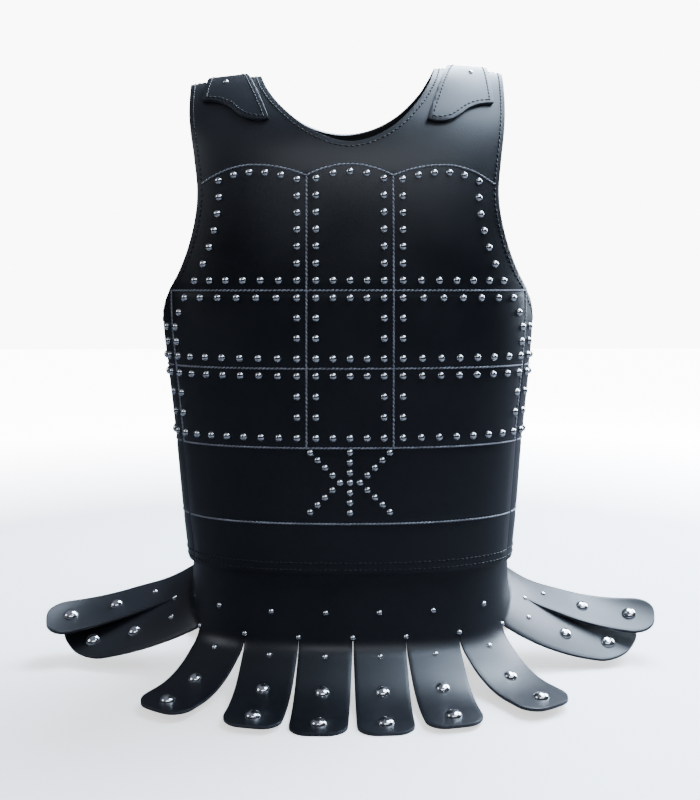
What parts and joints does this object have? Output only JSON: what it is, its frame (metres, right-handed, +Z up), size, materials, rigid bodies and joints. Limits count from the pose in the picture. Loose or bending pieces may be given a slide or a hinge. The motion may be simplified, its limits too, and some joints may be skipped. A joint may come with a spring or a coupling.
{
  "type": "studded leather cuirass",
  "caption": "Sleeveless leather body armour with stitched plate areas, domed rivets, shoulder patches and a splayed skirt of rounded strips.",
  "frame": {"origin": "middle of the bounding box's base, on the surface that the skirt's strips rest on", "axes": "+X towards the wearer's left, +Y towards the back, +Z up; the front faces -Y"},
  "size_m": [0.6664, 0.4092, 0.6453],
  "materials": {
    "leather": "dyed black, waxed, soft sheen",
    "patch_leather": "dyed black, smoother and a little glossier",
    "nickel": "polished nickel",
    "pale_thread": "thick grey stitching",
    "dark_thread": "waxed black thread"
  },
  "bodies": {
    "root": {"front_panel": "leather", "back_panel": "leather", "front_skirt": "leather", "back_skirt": "leather", "shoulder_patch_right": "patch_leather", "shoulder_patch_left": "patch_leather", "front_middle_dome_1": "nickel", "front_middle_dome_2": "nickel", "front_middle_dome_3": "nickel", "front_middle_dome_4": "nickel", "front_middle_dome_5": "nickel", "front_middle_dome_6": "nickel", "front_middle_dome_7": "nickel", "front_middle_dome_8": "nickel", "front_middle_dome_9": "nickel", "front_middle_dome_10": "nickel", "front_tip_dome_1": "nickel", "front_tip_dome_2": "nickel", "front_tip_dome_3": "nickel", "front_tip_dome_4": "nickel", "front_tip_dome_5": "nickel", "front_tip_dome_6": "nickel", "front_tip_dome_7": "nickel", "front_tip_dome_8": "nickel", "front_tip_dome_9": "nickel", "front_tip_dome_10": "nickel", "back_middle_dome_1": "nickel", "back_middle_dome_2": "nickel", "back_middle_dome_3": "nickel", "back_middle_dome_4": "nickel", "back_middle_dome_5": "nickel", "back_middle_dome_6": "nickel", "back_tip_dome_1": "nickel", "back_tip_dome_2": "nickel", "back_tip_dome_3": "nickel", "back_tip_dome_4": "nickel", "back_tip_dome_5": "nickel", "back_tip_dome_6": "nickel"}
  },
  "joints": []
}
